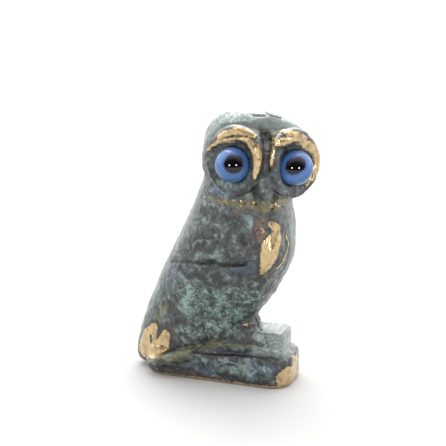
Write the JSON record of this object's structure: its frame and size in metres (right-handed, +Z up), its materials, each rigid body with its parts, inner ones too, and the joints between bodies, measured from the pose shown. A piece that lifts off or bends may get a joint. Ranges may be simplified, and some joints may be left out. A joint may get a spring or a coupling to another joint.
{
  "type": "owl statue",
  "caption": "Small cast bronze owl with its head turned aside, standing on a log-shaped plinth, with round blue glass eye beads.",
  "frame": {"origin": "centre of the plinth's flat underside", "axes": "+Z up; the breast faces -Y and the tail +Y; the owl's right side is -X and its face looks that way"},
  "size_m": [0.0246, 0.0438, 0.0646],
  "materials": {
    "patinated_bronze": "waxed verdigris patina with polished high spots",
    "blue_glass": "gloss, opaque blue with a black pupil"
  },
  "bodies": {
    "root": {"owl_casting": "patinated_bronze", "eye_right": "blue_glass", "eye_left": "blue_glass"}
  },
  "joints": []
}
